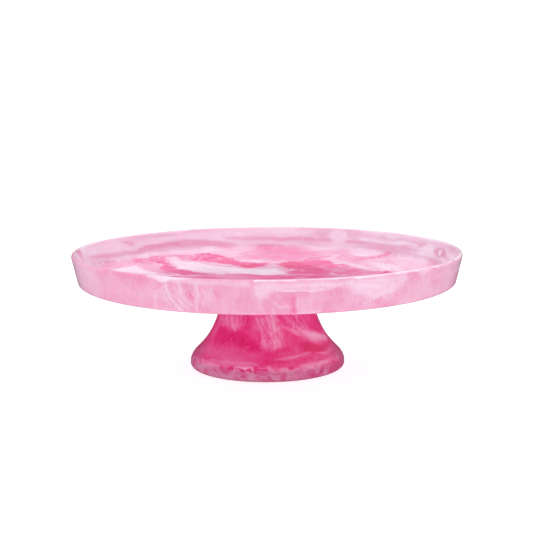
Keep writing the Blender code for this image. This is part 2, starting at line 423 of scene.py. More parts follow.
def paint_inner(paint, p, zone, th):
    """The inside of the rim wall, in (degrees from the far side's left, height). Pigment ran level round it."""
    idx = np.nonzero(zone)[0]
    z = p[idx][:, 2]
    R = 142.0 * math.pi / 180
    drift = np.c_[fbm(p[idx] / 14, 3, 51), fbm(p[idx] / 14, 3, 52)] - 0.5
    paint.on(idx, np.c_[-th[idx] + 2.0 * drift[:, 0], z + 2.4 * drift[:, 1]], R * 0.42, 1.0)
    s, cw, ch = paint.soft, paint.crisp_white, paint.crisp_hot
    wall = smooth(z, 76, 80)
    level = 0.17 + 0.5 * (fbm(np.c_[p[idx][:, 0] / 60, p[idx][:, 1] / 60, z / 5], 3, 55) - 0.5)
    paint.tone[idx] = paint.tone[idx] * (1 - wall) + level * wall
    # the far side, left to right
    # painted highlight: the pale band along the fillet at the far left, where floor meets wall
    s(0.17, 1.6, [(-166, 79.5), (-148, 77.2), (-128, 76.2), (-112, 75.2), (-130, 74.4), (-152, 75.6)])
    s(0.42, 1.3, [(-172, 84), (-156, 82.2), (-143, 79.6), (-139, 82.2), (-122, 84), (-106, 81), (-101, 76.6), (-112, 77.4), (-126, 78.6), (-145, 77.8), (-164, 80.6)])
    s(0.50, 1.2, [(-137, 82, 0.8), (-130, 81.4, 1.2), (-124, 81.8, 0.8)])
    s(0.50, 1.2, [(-111, 79, 0.8), (-104, 76, 1.0)])
    s(0.38, 1.2, [(-147, 88.6, 0.8), (-143, 86.5, 2.0)])
    s(0.12, 1.4, [(-158, 86.4, 3.2), (-150, 83, 1.6)])
    cw([(-149.5, 86.5, 0.5), (-148, 83.5, 0.8), (-144, 81, 0.5)], 0.8)
    s(0.15, 1.8, [(-121, 87.4, 1.2), (-112, 88, 2.6), (-103, 87.6, 2.2)])
    cw([(-99.8, 87.4, 0.8), (-99.6, 84.6, 0.8)], 0.8)
    s(0.40, 1.4, [(-104, 83, 0.8), (-92, 82.6, 1.6), (-80, 82, 1.5), (-67, 82.2, 1.4)])
    s(0.30, 2.0, [(-60, 89, 1.5), (-46, 88, 1.2)])
    s(0.40, 1.4, [(-62, 81.5), (-55, 83.5), (-44, 83), (-25, 82.5), (-30, 79.8), (-44, 78.4), (-57, 80)])
    s(0.46, 1.2, [(-60, 81.6, 1.0), (-53, 82.2, 0.8)])
    s(0.30, 1.5, [(-38, 88.2, 1.4), (-27, 87.4, 1.4)])
    s(0.10, 1.0, [(-53, 84.4, 0.5), (-40, 85, 1.0), (-30, 84.2, 1.3), (-23, 84, 0.8)])
    s(0.14, 1.5, [(-84, 78.4, 0.8), (-72, 76.4, 1.2), (-58, 76.6, 1.0)])
    s(0.34, 3, [(-70, 86, 2), (-58, 86, 2)])
    cw([(-64.3, 87.6, 3.2), (-64.2, 85.6, 3.4)])
    s(0.36, 2, [(-34, 84, 2), (-26, 87, 2)])
    cw([(-25.5, 80.8, 1.8), (-22, 83.4, 3.0), (-20, 81.6, 2.0)], 1.0)
    s(0.08, 0.8, [(-40, 85.6, 0.6), (-30, 85.4, 1.2)])
    s(0.44, 0.9, [(-19, 84), (-16, 87.6), (-9.5, 86.8), (-7, 83), (-13, 80.4)])
    s(0.04, 0.7, [(-13.6, 85.0, 1.1), (-13.4, 83, 1.1)])
    s(0.46, 1.4, [(-180.5, 85, 1.6), (-179, 91.5, 2.0)])
    s(0.46, 1.4, [(180.5, 85, 1.6), (178, 91.5, 2.4)])
    s(0.40, 1.2, [(-7, 83.2, 1.0), (-2, 82, 1.2)])
    # painted light: the far inner wall is made paler toward its right end, which sits in shade
    paint.tone[idx] -= 0.05 * wall * smooth(-th[idx], -72, -50) * smooth(th[idx], -8, 2)
    # the near side, seen from behind and above
    s(0.50, 3, [(20, 84, 2), (50, 82, 2), (80, 84, 2)])
    s(0.16, 3, [(60, 88, 1.5), (95, 87, 2), (120, 86, 1.5)])
    s(0.48, 3, [(110, 80, 2), (140, 82, 2), (165, 80, 1.5)])
    cw([(34, 86, 1.2), (42, 83, 2.0), (47, 82, 1.2)], 0.9)
    cw([(128, 87, 2.0), (132, 84, 1.6)], 0.85)
    paint.level[idx] = wall
    paint.cloud[idx] = 1 - 0.45 * wall


def paint_outer(paint, p, zone, th):
    """The outside of the rim wall, in (degrees, height): an even pink with veils let down from the lip."""
    idx = np.nonzero(zone)[0]
    z = p[idx][:, 2]
    R = 148.0 * math.pi / 180
    drift = np.c_[fbm(p[idx] / 11, 3, 61), fbm(p[idx] / 11, 3, 62)] + 0.7 * np.c_[fbm(p[idx] / 4, 2, 63), fbm(p[idx] / 4, 2, 64)] - 0.85
    paint.on(idx, np.c_[th[idx] + 1.0 * drift[:, 0], z + 1.8 * drift[:, 1]], R, 1.0)
    s, cw, ch = paint.soft, paint.crisp_white, paint.crisp_hot
    mottle = fbm(np.c_[p[idx][:, 0] / 16, p[idx][:, 1] / 16, z / 11], 3, 65) - 0.5
    paint.tone[idx] = 0.45 + 0.17 * mottle
    # left of the front
    s(0.35, 10, [(-165, 82, 8), (-148, 82, 12)])
    s(0.44, 4, [(-140, 84), (-119, 82), (-119, 71), (-140, 71)])
    s(0.52, 1.1, [(-135, 91, 0.6), (-123, 90.4, 1.2)])
    s(0.28, 1.8, [(-117, 90.4, 1.2), (-105, 90.0, 1.6), (-95, 90, 1.6)])
    cw([(-122.4, 92.8), (-120.4, 89.8), (-117.4, 88.4), (-115.4, 90.2), (-113, 91), (-110, 92.6)], 0.85)
    s(0.48, 0.8, [(-119, 91.4, 0.7)])
    # painted highlight: a thin near-white line along the top of the lip across the front's right half
    s(0.05, 0.6, [(-93, 92.4, 0.7), (-80, 92.3, 0.6), (-66, 92.4, 0.9), (-52, 92.3, 0.9), (-38, 92.4, 0.7), (-25, 92.4, 0.7), (-6, 92.4, 0.9)])
    s(0.17, 1.4, [(-117, 87, 0.8), (-116.6, 80, 0.9), (-115, 74.5, 0.8), (-113, 69.5, 0.5)])
    s(0.24, 1.2, [(-118.6, 85, 0.4), (-118, 79, 0.5), (-116.6, 73, 0.4)])
    s(0.18, 1.1, [(-112.8, 89, 0.6), (-112.6, 83, 0.7), (-111.4, 76.5, 0.5), (-109.6, 73, 0.3)])
    s(0.22, 1.1, [(-114.4, 84, 0.3), (-113.4, 77, 0.5), (-111, 71, 0.3)])
    s(0.20, 1.2, [(-108.4, 89, 0.5), (-108.1, 82, 0.6), (-108.8, 71, 0.5)])
    s(0.26, 1.0, [(-106.6, 86, 0.3), (-106.4, 77, 0.4), (-107, 71, 0.3)])
    s(0.28, 1.2, [(-121, 81, 0.6), (-120.8, 71.5, 0.9)])
    s(0.28, 1.0, [(-104, 86, 0.6), (-103.6, 78, 0.8)])
    s(0.62, 0.7, [(-110.6, 87.5, 0.5), (-110.2, 81, 1.5), (-110.4, 77, 0.6)])
    s(0.50, 0.7, [(-112, 80, 0.4), (-110.6, 75, 0.5)])
    s(0.47, 4, [(-95, 79, 5)])
    s(0.44, 3, [(-104, 76), (-92, 76), (-92, 71), (-104, 71)])
    # the front, and a disc-like swirl with one straight side
    s(0.29, 2.0, [(-93, 90), (-89, 90.4), (-87.6, 87), (-91.4, 79.4), (-93.4, 84)])
    s(0.22, 2.2, [(-91, 90), (-74, 90.6), (-68.6, 88), (-76, 85.8), (-88, 87)])
    s(0.13, 0.7, [(-88, 85.8, 0.4), (-81, 84.8, 0.6), (-76, 85.2, 0.4)])
    ch([(-88.2, 79), (-86.4, 81.2), (-83.1, 81), (-82.9, 74), (-83, 68), (-87.6, 68.6), (-88.4, 74)])
    paint.deep(0.55, 1.0, [(-86, 76, 8)])
    paint.deep(0.68, 0.9, [(-83.6, 81, 0.9), (-83.5, 70, 1.3)])
    paint.deep(0.34, 0.7, [(-88, 78, 0.4), (-87, 73.4, 0.6), (-84.6, 73.8, 0.4)])
    s(0.24, 0.6, [(-82.5, 80, 0.5), (-82.3, 69.5, 0.4)])
    s(0.38, 2, [(-82, 79), (-77, 78), (-77, 69), (-82, 69)])
    s(0.50, 1.0, [(-74, 76.6), (-72, 69), (-76, 69)])
    s(0.46, 1.6, [(-77, 77, 1.0), (-76.6, 70, 1.4)])
    # the pale cloud right of the front, torn along its lower edge
    s(0.26, 2.6, [(-69, 90), (-52.6, 90.6), (-50.8, 85), (-58, 77.6), (-64, 79), (-68.6, 86)])
    s(0.15, 1.6, [(-64.6, 86.6, 1.0), (-60, 84, 1.4)])
    cw([(-62, 76.8, 0.4), (-59, 77.6, 0.7)], 0.6)
    cw([(-58, 78.6, 0.4), (-54.4, 80.4, 0.6)], 0.6)
    cw([(-69.4, 85.8, 0.4), (-66.4, 81.4, 0.6)], 0.6)
    s(0.52, 0.7, [(-65, 78.6, 0.4), (-64.6, 72.5, 0.5)])
    s(0.48, 1.2, [(-61, 75, 0.8), (-56.6, 72.4, 1.6)])
    s(0.38, 2.0, [(-38, 91), (-24, 90), (-22, 76), (-34, 70.4), (-52, 70.4), (-48, 80)])
    s(0.45, 3, [(-38, 81, 2.5), (-33, 78, 2.5)])
    s(0.28, 2, [(-46, 91.4), (-40, 91.4), (-44, 87)])
    s(0.32, 3, [(-20, 84, 3), (-6, 80, 4)])
    for line in (
        [(-92, 88), (-85, 87), (-77, 88.4), (-70, 87.8)], [(-90, 85.8), (-81, 84.4), (-73, 85.4)],
        [(-70, 84), (-66.6, 81), (-62, 79.4), (-57.6, 80.2), (-52.6, 82.8), (-47, 83.8)], [(-65, 89.8), (-58, 88.2), (-51, 88.8)],
        [(-60.4, 77.4), (-56, 79), (-51, 81.4)], [(-48, 88), (-45, 83), (-45.6, 77)],
    ):
        paint.thread(line, 0.45)
    paint.line_on[idx] *= 0.5
    paint.veiled(0.55, 3, [(-122, 82, 5), (-106, 80, 5)])
    paint.veiled(0.45, 3, [(-92, 84, 5)])
    paint.veiled(0.5, 3, [(-68, 78, 3), (-54, 76, 4)])
    paint.veiled(0.4, 4, [(-160, 82, 8), (-150, 82, 8)])
    # the far side, drawn in the same hand
    rng = np.random.default_rng(7)
    for k in range(30):
        t, zz = rng.uniform(4, 176), rng.uniform(73, 89)
        if k % 3 == 0:
            s(rng.uniform(0.14, 0.22), 2.5, [(t, zz, rng.uniform(1, 3)), (t + rng.uniform(2, 8), zz + rng.uniform(-3, 3), rng.uniform(1, 3))])
        elif k % 3 == 1:
            s(rng.uniform(0.46, 0.56), 2.5, [(t, zz, rng.uniform(1, 4)), (t + rng.uniform(2, 7), zz + rng.uniform(-4, 4), rng.uniform(1, 3))])
        else:
            s(0.2, 0.9, [(t, 89, 0.7), (t + rng.uniform(-0.8, 1.0), 80, 0.9), (t + rng.uniform(-1, 2), 71, 0.6)])
            paint.veiled(0.5, 3, [(t, 82, 5)])


def paint_under(paint, p, zone):
    """The underside, poured last: broad clouds and a few long white drifts."""
    idx = np.nonzero(zone)[0]
    paint.on(idx, p[idx][:, :2] + 9 * (np.c_[fbm(p[idx] / 26, 3, 71), fbm(p[idx] / 26, 3, 72)] - 0.5))
    rng = np.random.default_rng(11)
    for k in range(16):
        a, rr, span = rng.uniform(0, 2 * math.pi), rng.uniform(40, 128), rng.uniform(0.4, 1.2)
        pts = [(rr * math.cos(a + span * t), (rr + 14 * t) * math.sin(a + span * t), rng.uniform(3, 9)) for t in (0, 0.33, 0.66, 1)]
        if k % 2:
            paint.crisp_white(pts, 0.85)
        else:
            paint.crisp_hot(pts)
            paint.deep(rng.uniform(0.55, 0.78), 6, pts)


# ------------------------------------------------------------------ the foot
def make_foot():
    side = [(4.6, 60.3), (8.2, 59.9), (12.4, 57.6), (17.6, 52.6), (25.0, 46.6), (34.0, 41.7), (44.0, 38.0), (55.0, 35.4), (62.0, 34.6)]
    shoulder = UNDER_Z - 1.2
    st = np.array([(h, rr, 0) for h, rr in side])
    fine = curve_through(st, 9)[:, :2]
    rings = [np.array((0, 69.8)), np.array((7, 69.8)), np.array((13.4, 69.8)), np.array((13.8, 69.6)), np.array((14.0, 69.2)), np.array((14.0, 67.5)), np.array((14.0, shoulder)), np.array((20.0, shoulder)), np.array((27.0, shoulder)), np.array((33.7, shoulder)), np.array((34.15, shoulder - 0.15)), np.array((34.35, shoulder - 0.6))]
    rings += [np.array((rr, h)) for h, rr in fine[::-1]]
    rings += arc(56.6, 4.6, 3.7, 4.6 - FOOT_Z0, 0, -90, 8)[1:]
    rings += [np.array((rr, FOOT_Z0)) for rr in np.linspace(54, 0, 22)]
    ob, ring_of = turned("marbled_foot", rings, 360)
    p = points_mm(ob.data)
    r = np.hypot(p[:, 0], p[:, 1])
    th = np.degrees(np.arctan2(p[:, 1], p[:, 0]))
    wob = fbm(np.c_[p[:, 0] / 34, p[:, 1] / 34, p[:, 2] / 40], 2, 9) - 0.5
    k = smooth(r, 15, 36) * smooth(p[:, 2], 2, 6)
    q = p.copy()
    q[:, :2] *= (1 - 0.004 * (0.5 + wob) * k)[:, None]
    set_points(ob.data, q)

    n = len(p)
    warp = np.c_[fbm(p / 20, 3, 81), fbm(p / 20, 3, 82), fbm(p / 20, 3, 83)] - 0.5
    base = 0.72 + 0.45 * (fbm((p + 26 * warp) / np.array([20, 20, 26]), 3, 84) - 0.5)
    paint = Paint(n, base)
    paint_foot(paint, p, (p[:, 2] > 0.9) & (p[:, 2] < shoulder + 0.1) & (r > 30), th, shoulder)
    paint.store(ob.data)
    return ob


def paint_foot(paint, p, zone, th, shoulder):
    """The foot's side, in (degrees, height): deep pink with pale veils let down from the neck, and a paler settled base."""
    idx = np.nonzero(zone)[0]
    z = p[idx][:, 2]
    r = np.hypot(p[idx][:, 0], p[idx][:, 1])
    drift = np.c_[fbm(p[idx] / 8, 3, 91), fbm(p[idx] / 8, 3, 92)] - 0.5
    paint.on(idx, np.c_[th[idx] + 3.0 * drift[:, 0], z + 2.4 * drift[:, 1]], 44.0 * math.pi / 180, 1.0)
    s, cw, ch, veil = paint.soft, paint.crisp_white, paint.crisp_hot, paint.veiled
    # left flank
    s(0.62, 4, [(-166, 17, 3), (-140, 19, 4), (-100, 19, 3)])
    s(0.88, 3, [(-150, 36), (-122, 35), (-100, 28), (-98, 22), (-122, 24), (-152, 25)])
    s(1.00, 4, [(-116, 28, 3)])
    s(0.58, 3, [(-158, 42), (-127, 45), (-123, 38), (-152, 38)])
    s(0.30, 1.2, [(-136, 44, 0.9), (-131, 39, 1.2), (-126, 35, 0.6)])
    s(0.36, 1.0, [(-145, 44, 0.8), (-139, 38, 0.8)])
    s(0.84, 1.8, [(-120, 46), (-107, 46), (-108, 37), (-118, 38)])
    # the veil at the front
    s(0.60, 3, [(-106, 43), (-90, 48), (-77, 48), (-79, 35), (-74, 26), (-82, 22.5), (-94, 25), (-96, 33), (-107, 38)])
    s(0.18, 1.6, [(-85, 47, 1.4), (-82, 41, 2.0), (-82, 36, 1.0)])
    s(0.28, 1.0, [(-96, 34, 0.5), (-93, 26, 0.7)])
    s(0.34, 1.1, [(-103, 46, 0.5), (-99, 40, 0.8), (-95, 35, 0.5)])
    s(0.38, 1.0, [(-98, 47, 0.4), (-94, 40, 0.7), (-90, 34, 0.4), (-87, 29, 0.3)])
    s(0.30, 1.2, [(-91, 48, 0.6), (-88, 42, 0.9), (-87, 37, 0.5)])
    s(0.40, 0.9, [(-78, 44, 0.4), (-76, 36, 0.6), (-75, 30, 0.4)])
    s(0.36, 1.0, [(-66, 46, 0.5), (-63, 41, 0.8), (-60, 37, 0.5)])
    s(0.28, 1.0, [(-88, 35, 0.6), (-84, 30, 0.9), (-83, 24.5, 0.5)])
    s(0.30, 1.0, [(-81, 32, 0.6), (-78.5, 28, 0.8), (-81, 24, 0.5)])
    s(0.78, 0.9, [(-93, 36, 0.5), (-88, 30, 0.8)])
    s(0.76, 0.9, [(-104, 36, 0.5), (-98, 31, 0.6)])
    s(0.76, 1.6, [(-76, 46), (-57, 45), (-56, 38), (-76, 38)])
    # the pale drift that slants down to the right
    s(0.30, 1.4, [(-72, 38.5, 0.7), (-60, 34, 1.3), (-54, 31, 0.8)])
    s(0.84, 2, [(-43, 46), (-15, 43), (-14, 30), (-42, 35)])
    s(0.24, 1.6, [(-57, 37.5), (-50, 34.5), (-25, 29.5), (-9, 23.5), (-30, 24), (-48, 28)])
    s(0.08, 1.2, [(-50, 33.4, 0.8), (-40, 30, 1.4), (-26, 27, 1.0)])
    s(0.94, 2, [(-57, 26), (-47, 25), (-40, 21.5), (-13, 21), (-30, 18), (-56, 19)])
    s(1.00, 1.6, [(-56, 25), (-46, 25.4), (-34, 21), (-38, 18.4), (-54, 20)])
    s(0.90, 1.2, [(-82, 22.6, 1.0), (-70, 22.8, 1.0)])
    # the settled base
    band = smooth(-z, -14.5, -10)
    settled = 0.42 + 0.55 * (fbm(np.c_[p[idx][:, 0] / 9, p[idx][:, 1] / 9, z / 6], 3, 95) - 0.5)
    paint.tone[idx] = paint.tone[idx] * (1 - 0.8 * band) + settled * 0.8 * band
    torn = fbm(np.c_[p[idx][:, 0] / 11 + 2 * drift[:, 0], p[idx][:, 1] / 11, z / 5.5 + 2 * drift[:, 1]], 4, 97, 0.6)
    paint.white[idx] = np.where(band > 0.02, (torn - 0.57) * 26 - 6 * (1 - band), -8)
    paint.white_amount[idx] = 0.66
    paint.hot[idx] = np.where(band > 0.02, (0.43 - torn) * 26 - 6 * (1 - band), -8)
    paint.hot_tone[idx] = 0.86
    s(0.30, 0.9, [(-84, 17.2, 0.3), (-70, 17.8, 0.6), (-52, 19, 0.7)])
    s(0.30, 0.9, [(-46, 18.4, 0.3), (-34, 17, 0.6), (-21, 17, 0.4)])
    s(0.38, 1.1, [(-148, 11.5, 0.8), (-134, 13.4, 0.8), (-108, 14.6, 1.0), (-97, 13.8, 0.7)])
    s(0.86, 0.8, [(-87, 15.4, 0.6), (-74, 15.6, 0.6)])
    s(0.82, 1.2, [(-60, 15, 1.0), (-52, 15, 0.9)])
    s(0.34, 1.6, [(-158, 6, 2.0), (-142, 9, 2.6)])
    s(0.62, 1.6, [(-136, 9), (-120, 12.6), (-121, 6.6), (-134, 6)])
    s(0.20, 1.6, [(-112, 11, 1.6), (-101, 9, 3.0), (-102, 3, 2.0)])
    s(0.20, 1.4, [(-129, 2.4, 1.0), (-118, 4, 1.8)])
    s(0.50, 1.6, [(-96, 12), (-89, 12), (-89, 4), (-96, 4)])
    s(0.20, 1.3, [(-90, 12, 1.0), (-86.6, 8, 1.8), (-86, 3.5, 1.8)])
    s(0.46, 2, [(-80, 9, 2.5), (-70, 8, 2.5)])
    s(0.24, 1.2, [(-75.5, 10, 0.8), (-74, 5, 1.0)])
    s(0.20, 1.4, [(-66, 12), (-52, 12.6), (-30, 13), (-42, 10.6), (-60, 10.4)])
    s(0.60, 2, [(-58, 6, 2.5), (-48, 6, 2.5)])
    s(0.86, 2, [(-40, 7.5), (-26, 8), (-23, 2), (-40, 3)])
    s(0.56, 2, [(-34, 12, 1.6), (-20, 12, 2.0)])
    paint.veil[idx] = 0.42 * smooth(z, 34, 42)
    veil(0.95, 3, [(-104, 40), (-90, 48), (-77, 48), (-75, 26), (-94, 25)])
    veil(0.75, 3, [(-70, 48), (-45, 46), (-40, 34), (-60, 34)])
    veil(0.7, 3, [(-156, 42), (-128, 46), (-124, 36), (-150, 36)])
    veil(0.7, 2, [(-57, 37, 2), (-35, 30, 3), (-15, 26, 2)])
    # painted shade low on the foot's right flank, greying the colour
    paint.paint_shade(0.55, 3, [(-22, 5, 3), (-8, 8, 5), (8, 8, 5)])
    # far side, in the same hand
    rng = np.random.default_rng(23)
    for k in range(26):
        t, zz = rng.uniform(5, 172), rng.uniform(6, 60)
        tone = rng.uniform(0.22, 0.42) if k % 2 else rng.uniform(0.84, 0.98)
        pts = [(t, zz, rng.uniform(1.2, 3.5)), (t + rng.uniform(4, 14), zz + rng.uniform(-8, 2), rng.uniform(1.2, 3.5))]
        s(tone, 2.2, pts)
        if k % 2:
            veil(0.8, 3, pts)
    paint.streak[idx] = 0.3 + 0.7 * smooth(z, 16, 26)
    paint.level[idx] = 0.6 * smooth(-z, -16, -12)
    # painted shade: greyer and darker toward the bottom as contact shadow, and on the left and right flanks low down
    flank = smooth(np.abs(np.cos(np.radians(th[idx]))), 0.80, 1.0) * smooth(-z, -26, -12)
    paint.painted_shade[idx] = np.maximum(paint.painted_shade[idx], 0.46 * smooth(-z, -12, -7) + 0.45 * smooth(-z, -4, -1.2))
    paint.painted_shade[idx] = np.maximum(paint.painted_shade[idx], 0.50 * flank)


# ------------------------------------------------------------------ bond bead and pads
def make_bond():
    z0, z1 = bond_lo.z / MM - 0.22, bond_hi.z / MM + 0.22
    rings = [np.array((15.3, z1)), np.array((24, z1)), np.array((32.5, z1)), np.array((33.6, z1 - 0.02)), np.array((33.2, (z0 + z1) / 2 + 0.2)), np.array((33.1, (z0 + z1) / 2)), np.array((33.2, (z0 + z1) / 2 - 0.2)), np.array((33.6, z0 + 0.02)), np.array((32.5, z0)), np.array((24, z0)), np.array((15.3, z0)), np.array((15.1, (z0 + z1) / 2))]
    ob, _ = turned("bond_bead", rings, 180, closed=True)
    p = points_mm(ob.data)
    r = np.hypot(p[:, 0], p[:, 1])
    wob = fbm(np.c_[p[:, 0] / 7, p[:, 1] / 7, np.zeros(len(p))], 3, 13) - 0.5
    k = smooth(r, 30, 33)
    p[:, :2] *= (1 + 0.012 * wob * k)[:, None]
    set_points(ob.data, p)
    return ob


def make_pad(node):
    lo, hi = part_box(node)
    c = (lo + hi) / 2 / MM
    rad = (hi.x - lo.x) / 2 / MM
    h = hi.z / MM
    rings = [np.array((0, h)), np.array((rad * 0.5, h)), np.array((rad - 0.35, h)), np.array((rad - 0.12, h - 0.05)), np.array((rad, h - 0.17)), np.array((rad, 0.14)), np.array((rad - 0.14, 0.03)), np.array((rad - 0.4, 0.0)), np.array((rad * 0.5, 0.0)), np.array((0, 0.0))]
    ob, _ = turned(node.replace("non_slip", "silicone"), rings, 64)
    p = points_mm(ob.data)
    p[:, 0] += c.x
    p[:, 1] += c.y
    set_points(ob.data, p)
    return ob


# ------------------------------------------------------------------ materials
def srgb(r, g, b):
    out = []
    for v in (r, g, b):
        v = v / 255
        out.append(v / 12.92 if v <= 0.04045 else ((v + 0.055) / 1.055) ** 2.4)
    return (*out, 1.0)


class Nodes:
    """A small helper that lays out a node tree."""

    def __init__(self, name):
        self.mat = bpy.data.materials.new(name)
        self.mat.use_nodes = True
        self.t = self.mat.node_tree
        self.t.nodes.clear()
        self.out = self.t.nodes.new("ShaderNodeOutputMaterial")
        self.x = 0

    def new(self, kind, **props):
        n = self.t.nodes.new(kind)
        self.x += 1
        n.location = (-1800 + 90 * self.x, 300 - 60 * (self.x % 11))
        for k, v in props.items():
            setattr(n, k, v)
        return n

    def link(self, a, b):
        self.t.links.new(a, b)

    def feed(self, socket, value):
        if isinstance(value, bpy.types.NodeSocket):
            self.link(value, socket)
        else:
            socket.default_value = value

    def attr(self, name):
        return self.new("ShaderNodeAttribute", attribute_name=name).outputs["Fac"]

    def math(self, op, a, b=0.0, c=None, clamp=False):
        n = self.new("ShaderNodeMath", operation=op, use_clamp=clamp)
        self.feed(n.inputs[0], a)
        self.feed(n.inputs[1], b)
        if c is not None:
            self.feed(n.inputs[2], c)
        return n.outputs[0]

    def vmath(self, op, a, b=(0, 0, 0), scale=None):
        n = self.new("ShaderNodeVectorMath", operation=op)
        self.feed(n.inputs[0], a)
        if op == "SCALE":
            self.feed(n.inputs["Scale"], scale)
        else:
            self.feed(n.inputs[1], b)
        return n.outputs["Value" if op in ("LENGTH", "DOT_PRODUCT") else "Vector"]

    def noise(self, vec, scale, detail=4.0, rough=0.5, distortion=0.0, color=False):
        n = self.new("ShaderNodeTexNoise")
        self.feed(n.inputs["Vector"], vec)
        n.inputs["Scale"].default_value = scale
        n.inputs["Detail"].default_value = detail
        n.inputs["Roughness"].default_value = rough
        n.inputs["Distortion"].default_value = distortion
        return n.outputs["Color" if color else "Fac"]

    def range(self, v, a, b, c=0.0, d=1.0, smoothstep=True):
        n = self.new("ShaderNodeMapRange", interpolation_type="SMOOTHSTEP" if smoothstep else "LINEAR")
        self.feed(n.inputs["Value"], v)
        for key, val in (("From Min", a), ("From Max", b), ("To Min", c), ("To Max", d)):
            self.feed(n.inputs[key], val)
        return n.outputs["Result"]

    def mix(self, f, a, b):
        n = self.new("ShaderNodeMix", data_type="FLOAT")
        self.feed(n.inputs[0], f)
        self.feed(n.inputs[2], a)
        self.feed(n.inputs[3], b)
        return n.outputs[0]

    def mix_color(self, f, a, b, blend="MIX"):
        n = self.new("ShaderNodeMix", data_type="RGBA", blend_type=blend)
        self.feed(n.inputs[0], f)
        self.feed(n.inputs[6], a)
        self.feed(n.inputs[7], b)
        return n.outputs[2]

    def ramp(self, f, stops):
        n = self.new("ShaderNodeValToRGB")
        n.color_ramp.interpolation = "LINEAR"
        el = n.color_ramp.elements
        while len(el) > 1:
            el.remove(el[-1])
        el[0].position, el[0].color = stops[0]
        for pos, col in stops[1:]:
            e = el.new(pos)
            e.color = col
        self.feed(n.inputs[0], f)
        return n.outputs[0]


